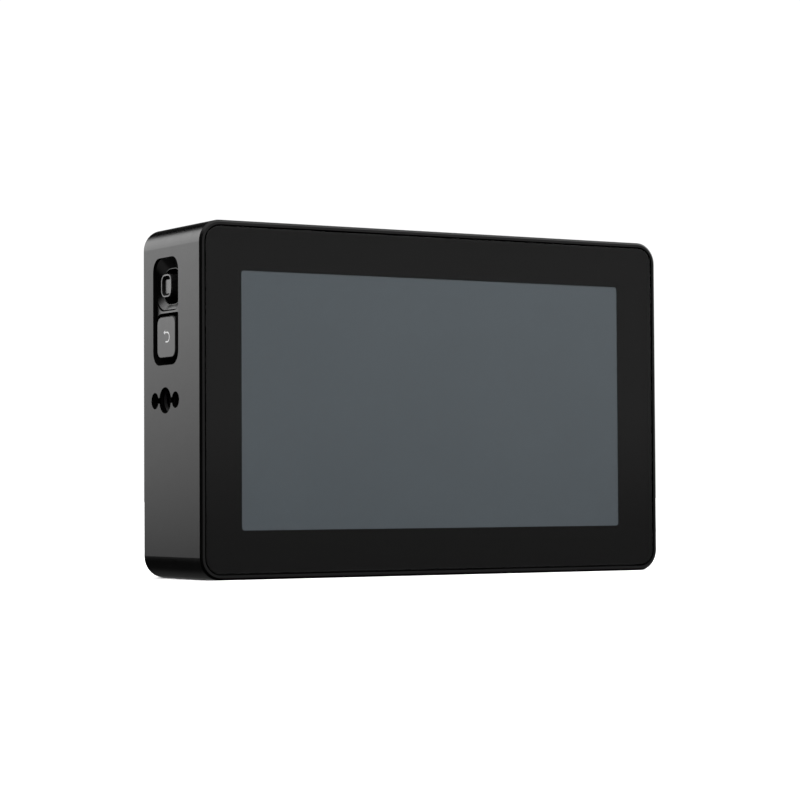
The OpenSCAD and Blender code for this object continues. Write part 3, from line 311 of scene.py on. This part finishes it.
def loft(bm, loops, place, sharp=(), caps=(True, True)):
    """Skins loops of equal length, each a list of (a, b, depth). Rings in sharp keep a crisp edge."""
    rings = [[bm.verts.new(Vector(place(*p)) * MM) for p in loop] for loop in loops]
    n = len(rings[0])
    for k in range(len(rings) - 1):
        for i in range(n):
            j = (i + 1) % n
            bm.faces.new((rings[k][i], rings[k][j], rings[k + 1][j], rings[k + 1][i])).smooth = True
    for ring, cap in ((rings[0], caps[0]), (rings[-1], caps[1])):
        if cap:
            bm.faces.new(ring)
    for k in sharp:
        for i in range(n):
            bm.edges.get((rings[k][i], rings[k][(i + 1) % n])).smooth = False


def at_depth(loop, depth, shift=(0.0, 0.0)):
    """Lays a plane loop at one depth, for loft."""
    return [(a + shift[0], b + shift[1], depth) for a, b in loop]


# ---------- cover glass ----------

def cover_pane():
    """The glass with its ground edge. Its back stays a hair in front of the printed film."""
    low, high = box_mm("cover_glass")
    mid = middle_mm("cover_glass")
    w, h = high.x - low.x, high.z - low.z
    corner, edge, film_gap, steps = 3.9, 0.12, 0.03, 5
    loops = []
    for i in range(steps + 1):
        turn = math.radians(90 * i / steps)
        inset = edge * (1 - math.sin(turn))
        outline = rounded_loop(w - 2 * inset, h - 2 * inset, corner - inset)
        loops.append(at_depth(outline, low.y + edge * (1 - math.cos(turn))))
    loops.append(at_depth(rounded_loop(w, h, corner), high.y - film_gap))
    bm = bmesh.new()
    loft(bm, loops, lambda a, b, d: (mid.x + a, d, mid.z + b), sharp=(0, steps, steps + 1))
    bmesh.ops.recalc_face_normals(bm, faces=bm.faces)
    new_piece("cover_pane", bm, "cover_glass", "glass")


cover_pane()


# ---------- left controls ----------

WELL = (9.9, 8.6, 3.8)            # mouth of the stick's well: width, height, corner radius
WELL_LAND, WELL_DROP = 0.18, 0.1  # flat ring round the mouth; how far the mouth lies below the stick's middle
LAND_DEPTH, FACE_DEPTH, FLANGE_DEPTH = 1.95, 0.85, 2.4
SCOOP_TOP_DEPTH, SCOOP_LOW_DEPTH = 0.6, 1.3
SCOOP_EDGE = 0.05                 # from the plug's side to the scoop
SEAM, SEAM_DEPTH = 0.35, 1.5      # groove between the scoop and the ridge
SEAM_FLOOR = 0.6 * SEAM
RIDGE_LEAN = 0.06
FLARE_STEPS = 8
OPENING_LAP, FIT_GAP = 2.0, 0.1   # how far the bezel reaches behind the wall, and its gap in the opening
POCKET_GAP, RIDGE = 0.85, 0.85    # above the key
OPENING_CORNER, SCOOP_CORNER, POCKET_CORNER = 3.3, 3.9, 2.6
# Black sheet of painted shade in the side opening: its gap to the opening's wall and the depth of its front
# edge
SHADE_LINING_GAP, SHADE_LINING_DEPTH = 0.03, 0.12
CAP_RIM, CAP_CORNER, DISH_DEPTH = 0.45, 1.9, 1.2
OLD_PAD_W, OLD_PAD_H = 2.5, 4.0   # holds the solid's pad and nothing else of the cap
PAD, PAD_DROP = (3.4, 3.5, 0.6), 0.16
PAD_DEPTH, PAD_ROUND = 0.6, 0.06
WELDED = 1e-6                     # metres


def left_place(a, b, depth):
    """From behind the stick's middle, above it, and below the left face, to the row frame."""
    stick = middle_mm("stick_cap")
    return (box_mm("housing")[0].x + depth, stick.y + a, stick.z + b)


def sculpted_bezel():
    """Bezel face: a scoop that runs down to a flat ring round the stick's well, and a ridge above the key."""
    low, high = box_mm("control_bezel")
    stick_z = middle_mm("stick_cap").z
    half_w = (high.y - low.y) / 2 - OPENING_LAP - FIT_GAP
    top = high.z - OPENING_LAP - FIT_GAP - stick_z
    pocket_top = box_mm("back_button")[1].z + POCKET_GAP - stick_z
    scoop_low = pocket_top + RIDGE
    scoop_mid = (top + scoop_low) / 2

    def plug_outline(steps=8):
        """Top corners of the opening, and the two corners of the key's pocket, which curve inward."""
        top_b, pocket_b = top - OPENING_CORNER, pocket_top - POCKET_CORNER
        points = []
        for side, centre_b, r, start, sweep in ((1, top_b, OPENING_CORNER, 0, 90),
                                                (-1, top_b, OPENING_CORNER, 90, 90),
                                                (-1, pocket_b, POCKET_CORNER, 180, -90),
                                                (1, pocket_b, POCKET_CORNER, 90, -90)):
            for i in range(steps + 1):
                turn = math.radians(start + sweep * i / steps)
                points.append((side * (half_w - r) + r * math.cos(turn), centre_b + r * math.sin(turn)))
        return points

    def blended(outline, shift, upper, lower):
        """Depth turns from upper to lower below the scoop's middle."""
        loop = []
        for a, b in outline:
            share = min(1.0, max(0.0, (scoop_mid - b - shift) / (scoop_mid - scoop_low)))
            loop.append((a, b + shift, upper + (lower - upper) * share))
        return loop

    scoop_w, scoop_h = 2 * (half_w - SCOOP_EDGE), top - scoop_low
    land_w, land_h = WELL[0] + 2 * WELL_LAND, WELL[1] + 2 * WELL_LAND
    land_corner = WELL[2] + WELL_LAND
    plug = plug_outline()
    loops = [at_depth(plug, FLANGE_DEPTH), blended(plug, 0, SCOOP_TOP_DEPTH, FACE_DEPTH)]
    for drop, depth in ((SEAM, FACE_DEPTH + RIDGE_LEAN), (SEAM_FLOOR, SEAM_DEPTH)):
        outline = rounded_loop(scoop_w, scoop_h + drop, SCOOP_CORNER)
        loops.append(blended(outline, scoop_mid - drop / 2, SCOOP_TOP_DEPTH, depth))
    for i in range(FLARE_STEPS + 1):
        f = i / FLARE_STEPS
        outline = rounded_loop(scoop_w + f * (land_w - scoop_w), scoop_h + f * (land_h - scoop_h),
                               SCOOP_CORNER + f * (land_corner - SCOOP_CORNER))
        upper = SCOOP_TOP_DEPTH + f * (LAND_DEPTH - SCOOP_TOP_DEPTH)
        lower = SCOOP_LOW_DEPTH + f * (LAND_DEPTH - SCOOP_LOW_DEPTH)
        loops.append(blended(outline, (1 - f) * scoop_mid - f * WELL_DROP, upper, lower))
    mouth = rounded_loop(*WELL)
    loops += [at_depth(mouth, depth, (0.0, -WELL_DROP)) for depth in (LAND_DEPTH, FLANGE_DEPTH)]
    bm = bmesh.new()
    bm.from_mesh(NODES["control_bezel"].data)
    flange = Vector(left_place(0, 0, FLANGE_DEPTH)) * MM
    bmesh.ops.bisect_plane(bm, geom=bm.verts[:] + bm.edges[:] + bm.faces[:], dist=WELDED, plane_co=flange,
                           plane_no=(-1, 0, 0), clear_outer=True)
    last = len(loops) - 1
    loft(bm, loops, left_place, sharp=(0, 1, 2, 3, 4, last - 2, last - 1, last), caps=(False, False))
    piece = new_piece("bezel_face", bm, "control_bezel", "bezel_plastic")
    piece.data.materials.append(surface("bezel_back", grey(0.0015), 0.6, level=0.0))
    for face in piece.data.polygons:
        face.material_index = int(face.center.x > flange.x - WELDED)


def opening_shade_lining():
    """Black sheet of painted shade lining the side opening, between its edge and the bezel's flange."""
    low, high = box_mm("control_bezel")
    middle = middle_mm("control_bezel")
    face = box_mm("housing")[0].x
    inset = 2 * (OPENING_LAP + SHADE_LINING_GAP)
    outline = rounded_loop(high.y - low.y - inset, high.z - low.z - inset, OPENING_CORNER)
    bm = bmesh.new()
    loft(bm, [at_depth(outline, depth) for depth in (SHADE_LINING_DEPTH, FLANGE_DEPTH)],
         lambda a, b, depth: (face + depth, middle.y + a, middle.z + b), caps=(False, False))
    new_piece("opening_shade_lining", bm, None, "adhesive")


def sculpted_cap():
    """Stick cap with the thumb pad of the photograph, wider and deeper in its dish than the solid's."""
    low, high = box_mm("stick_cap")
    middle = middle_mm("stick_cap")
    bm = bmesh.new()
    bm.from_mesh(NODES["stick_cap"].data)
    old_pad = []
    for vert in bm.verts:
        place = vert.co / MM
        beside = abs(place.y - middle.y) > OLD_PAD_W / 2 or abs(place.z - middle.z) > OLD_PAD_H / 2
        if not beside and place.x < low.x + DISH_DEPTH + FIT_GAP:
            old_pad.append(vert)
    bmesh.ops.delete(bm, geom=old_pad, context="VERTS")
    dish = rounded_loop(high.y - low.y - 2 * CAP_RIM, high.z - low.z - 2 * CAP_RIM, CAP_CORNER - CAP_RIM)
    w, h, r = PAD
    pad = rounded_loop(w, h, r)
    pad_top = rounded_loop(w - 2 * PAD_ROUND, h - 2 * PAD_ROUND, r - PAD_ROUND)
    shift = (0.0, -PAD_DROP)
    loops = [at_depth(dish, DISH_DEPTH)]
    loops += [at_depth(pad, depth, shift) for depth in (DISH_DEPTH, PAD_DEPTH + PAD_ROUND)]
    loops.append(at_depth(pad_top, PAD_DEPTH, shift))
    loft(bm, loops, lambda a, b, depth: (low.x + depth, middle.y + a, middle.z + b),
         sharp=(0, 1, 2, 3), caps=(False, True))
    new_piece("sculpted_cap", bm, "stick_cap", "stick_plastic", "stick_knob")


sculpted_bezel()
opening_shade_lining()
sculpted_cap()


# ---------- threads of the mounts ----------

THREAD_PITCH, THREAD_CREST, THREAD_ROOT = 1.27, 2.75, 3.19
THREAD_FIRST, THREAD_LAST = 1.5, 8.6      # depths below the wall's face
THREAD_FOOT, THREAD_FLAT = 0.5, 0.08      # half widths of the ridge at its root and at its crest
THREAD_BORE, PIN_BORE, PIN_SPACING = 3.2, 2.0, 11.2
SLOT_H, SLOT_D = 1.4, 0.78


def thread(name, start, along, side, up):
    """One unbroken helical ridge in a mount's bore, which fades in and out at its ends."""
    steps_a_turn, fade_steps = 40, 6
    count = int((THREAD_LAST - THREAD_FIRST) / THREAD_PITCH * steps_a_turn)
    bm = bmesh.new()
    rows = []
    for k in range(count + 1):
        turn = 2 * math.pi * k / steps_a_turn
        depth = THREAD_FIRST + THREAD_PITCH * k / steps_a_turn
        out = math.cos(turn) * side + math.sin(turn) * up
        fade = min(1.0, k / fade_steps, (count - k) / fade_steps)
        crest = THREAD_ROOT + (THREAD_CREST - THREAD_ROOT) * fade
        profile = ((-THREAD_FOOT, THREAD_ROOT), (-THREAD_FLAT, crest),
                   (THREAD_FLAT, crest), (THREAD_FOOT, THREAD_ROOT))
        rows.append([bm.verts.new((start + along * (depth + d) + out * r) * MM) for d, r in profile])
    for one, two in zip(rows, rows[1:]):
        for i in range(3):
            bm.faces.new((one[i], one[i + 1], two[i + 1], two[i]))
    bmesh.ops.recalc_face_normals(bm, faces=bm.faces)
    new_piece(name, bm, None, "nut_steel")


def slot_shade_lining(name, start, along, side, up):
    """Black sheet of painted shade on the floor of the slot between the thread and its two locating holes, as
    a thin lining.
    """
    rows = 6
    bm = bmesh.new()
    for way in (-1, 1):
        strip = []
        for k in range(rows + 1):
            h = SLOT_H * (k / rows - 0.5)
            near = math.sqrt(THREAD_BORE ** 2 - h * h)
            far = PIN_SPACING / 2 - math.sqrt(PIN_BORE ** 2 - h * h)
            floor = start + along * SLOT_D + up * h
            strip.append([bm.verts.new((floor + side * way * reach) * MM) for reach in (near, far)])
        for one, two in zip(strip, strip[1:]):
            bm.faces.new((one[0], one[1], two[1], two[0]))
    new_piece(name, bm, None, "adhesive")


def mount_threads():
    """Dresses the camera mounts in the left wall, the right wall and the bottom."""
    low, high = box_mm("housing")
    x_axis, y_axis, z_axis = Vector((1, 0, 0)), Vector((0, 1, 0)), Vector((0, 0, 1))
    for mount in frame["record"]["mounts"]:
        if mount["kind"] != "threaded_hole":
            continue
        start = Vector(mount["pos_m"]) / MM
        along = -Vector(mount["axis"])
        if along.x:
            start.x = low.x if along.x > 0 else high.x
            pins_way, across, thread_start = y_axis, z_axis, z_axis
        else:
            start.z = low.z
            pins_way, across, thread_start = x_axis, y_axis, x_axis
        thread(mount["name"] + "_ridge", start, along, thread_start, y_axis)
        slot_shade_lining(mount["name"] + "_slot", start, along, pins_way, across)


mount_threads()


# ---------- camera ----------

LENS_MM = 116.14
SENSOR_MM = 36.0
CAMERA_AT = Vector((-0.34256, -0.56104, 0.02050))
CAMERA_YAW = math.radians(31.232)
CAMERA_PITCH = math.radians(2.065)
CAMERA_ROLL = math.radians(-0.305)


def camera():
    """Camera at the photograph's place and angle."""
    ahead = Vector((math.sin(CAMERA_YAW) * math.cos(CAMERA_PITCH),
                    math.cos(CAMERA_YAW) * math.cos(CAMERA_PITCH), math.sin(CAMERA_PITCH)))
    level = Vector((math.cos(CAMERA_YAW), -math.sin(CAMERA_YAW), 0))
    above = level.cross(ahead)
    right = math.cos(CAMERA_ROLL) * level + math.sin(CAMERA_ROLL) * above
    up = -math.sin(CAMERA_ROLL) * level + math.cos(CAMERA_ROLL) * above
    data = bpy.data.cameras.new("photo_camera")
    data.lens, data.sensor_width = LENS_MM, SENSOR_MM
    data.clip_start, data.clip_end = 0.01, 20
    eye = bpy.data.objects.new("photo_camera", data)
    bpy.context.scene.collection.objects.link(eye)
    turn = Matrix((right, up, -ahead)).transposed()
    eye.matrix_world = Matrix.Translation(CAMERA_AT) @ turn.to_4x4()
    bpy.context.scene.camera = eye


camera()


# ---------- studio ----------

BACKDROP = 1.05                             # what the camera sees beyond the floor
CARD_DIM, CARD_BRIGHT, OVERHEAD = 0.21, 0.36, 0.75
CARD_LOW, CARD_HIGH = -0.024, 0.036         # heights of a ray, as sines
OVERHEAD_LOW, OVERHEAD_HIGH = 0.11, 0.3
TABLE_LOW, TABLE_HIGH = -0.6, -0.3
# A direction, and the cosines of the angles from it inside and outside which a patch is full and gone.
FLAGS = (((-0.93, -0.37, 0.0), 0.85, 0.6),
         ((0.0, 0.97, 0.24), 0.8, 0.6))
TABLE_PATCH, TABLE_GLOW = ((0.28, 0.9, -0.34), 0.97, 0.91), 0.06
RIGHT_PATCH, RIGHT_GLOW = ((0.95, 0.3, 0.1), 0.9, 0.5), 0.4

KEY_AHEAD = Vector((-0.441, 0.897, 0))      # from the left wall to the key card
KEY_AWAY, KEY_LEFT, KEY_RIGHT, KEY_LOW, KEY_HIGH = 900.0, 500.0, 380.0, -32.0, 660.0
KEY_EDGE = 150.0
KEY_GLOW, KEY_DARK_Z, KEY_FULL_Z = 2.15, -99.0, 248.0

FLOOR_HALF = 6.0                            # metres


def sheet(name, corners, shader_of):
    """A flat four-cornered sheet of the studio. shader_of builds its shader in a node tree."""
    mesh = bpy.data.meshes.new(name)
    mesh.from_pydata(corners, [], [(0, 1, 2, 3)])
    piece = bpy.data.objects.new(name, mesh)
    bpy.context.scene.collection.objects.link(piece)
    mat = bpy.data.materials.new(name)
    t = Tree(mat)
    t.node("ShaderNodeOutputMaterial", Surface=shader_of(t).outputs[0])
    dress(piece, mat)
    return piece


def studio_floor():
    """Pale floor, which lights nothing and isn't mirrored."""
    corners = [(x * FLOOR_HALF, y * FLOOR_HALF, 0) for x, y in ((-1, -1), (1, -1), (1, 1), (-1, 1))]
    floor = sheet("studio_floor", corners, lambda t: t.node("ShaderNodeBsdfDiffuse", Color=grey(0.92)))
    floor.visible_glossy = floor.visible_diffuse = False


def studio_sky():
    """White backdrop for the camera, and around the part a dark room with pale cards.

    The room is pale above the table, brighter overhead, with black flags to the left and behind, and with
    a low patch behind and a wide one to the right.
    """
    world = bpy.data.worlds.new("studio")
    bpy.context.scene.world = world
    t = Tree(world)
    ray = t.node("ShaderNodeTexCoord").outputs["Generated"]
    parts = t.node("ShaderNodeSeparateXYZ")
    t.feed(parts, "0", ray)
    height = parts.outputs["Z"]

    def patch(way, near, far):
        """1 along a direction, 0 away from it."""
        return t.span(t.dot(ray, tuple(Vector(way).normalized())), far, near, 0.0, 1.0, smooth=True)

    card = t.span(height, CARD_LOW, CARD_HIGH, CARD_DIM, CARD_BRIGHT, smooth=True)
    overhead = t.span(height, OVERHEAD_LOW, OVERHEAD_HIGH, 0.0, OVERHEAD - CARD_BRIGHT, smooth=True)
    table = t.span(height, TABLE_LOW, TABLE_HIGH, CARD_DIM, 0.0, smooth=True)
    room = t.math("SUBTRACT", t.math("ADD", card, overhead), table)
    for flag in FLAGS:
        room = t.math("MULTIPLY", room, t.math("SUBTRACT", 1.0, patch(*flag)))
    for place, glow in ((TABLE_PATCH, TABLE_GLOW), (RIGHT_PATCH, RIGHT_GLOW)):
        room = t.math("ADD", room, t.math("MULTIPLY", patch(*place), glow))
    cards = t.node("ShaderNodeBackground", Color=grey(1.0), Strength=room)
    white = t.node("ShaderNodeBackground", Color=grey(1.0), Strength=BACKDROP)
    seen = t.node("ShaderNodeLightPath").outputs["Is Camera Ray"]
    t.node("ShaderNodeOutputWorld", Surface=t.mix_shaders(seen, cards, white))


def key_card():
    """Tall card to the rear left, for glossy surfaces alone. It fades towards the table and to the right."""
    corner_low, corner_high = box_mm("housing")
    wall = Vector((corner_low.x, (corner_low.y + corner_high.y) / 2, 0))
    foot = wall + KEY_AHEAD * KEY_AWAY
    across = Vector((KEY_AHEAD.y, -KEY_AHEAD.x, 0))
    up = Vector((0, 0, 1))
    corners = [(foot + across * side + up * level) * MM
               for side, level in ((-KEY_LEFT, KEY_LOW), (KEY_RIGHT, KEY_LOW),
                                   (KEY_RIGHT, KEY_HIGH), (-KEY_LEFT, KEY_HIGH))]
    right_x = (foot + across * KEY_RIGHT).x

    def glow(t):
        parts = t.node("ShaderNodeSeparateXYZ")
        t.feed(parts, "0", t.place())
        by_height = t.span(parts.outputs["Z"], KEY_DARK_Z, KEY_FULL_Z, 0.0, KEY_GLOW)
        by_side = t.span(parts.outputs["X"], right_x, right_x - KEY_EDGE * across.x)
        return t.node("ShaderNodeEmission", Color=grey(1.0), Strength=t.math("MULTIPLY", by_height, by_side))

    card = sheet("key_card", corners, glow)
    card.visible_camera = card.visible_diffuse = card.visible_shadow = False


def matt_lamp(name, kind, way, **settings):
    """Lamp that glossy rays don't see. way points from the part to the lamp."""
    data = bpy.data.lights.new(name, kind)
    for key, value in settings.items():
        setattr(data, key, value)
    lamp = bpy.data.objects.new(name, data)
    bpy.context.scene.collection.objects.link(lamp)
    lamp.rotation_mode = "QUATERNION"
    lamp.rotation_quaternion = Vector(way).to_track_quat("Z", "Y")
    lamp.visible_glossy = False
    return lamp


def soft_sky(name, way, spread, strength):
    """Light from a wide part of the sky, spread degrees across."""
    matt_lamp(name, "SUN", way, energy=strength, angle=math.radians(spread))


def front_box():
    """Soft box in front of the display and above it."""
    place, aim = Vector((60, -260, 260)) * MM, Vector((0, -15, 60)) * MM
    lamp = matt_lamp("front_box", "AREA", place - aim, shape="RECTANGLE", energy=1.2, size=300 * MM,
                     size_y=200 * MM)
    lamp.location = place
    lamp.visible_camera = False


studio_floor()
studio_sky()
key_card()
soft_sky("sky_above", (0, 0, 1), 150, 4.6)
soft_sky("sky_front", (0.2, -1, 0.35), 100, 0.5)
soft_sky("sky_rear", (0.3, 1, 0.4), 100, 1.6)
front_box()

bpy.context.scene.view_settings.view_transform = "Standard"
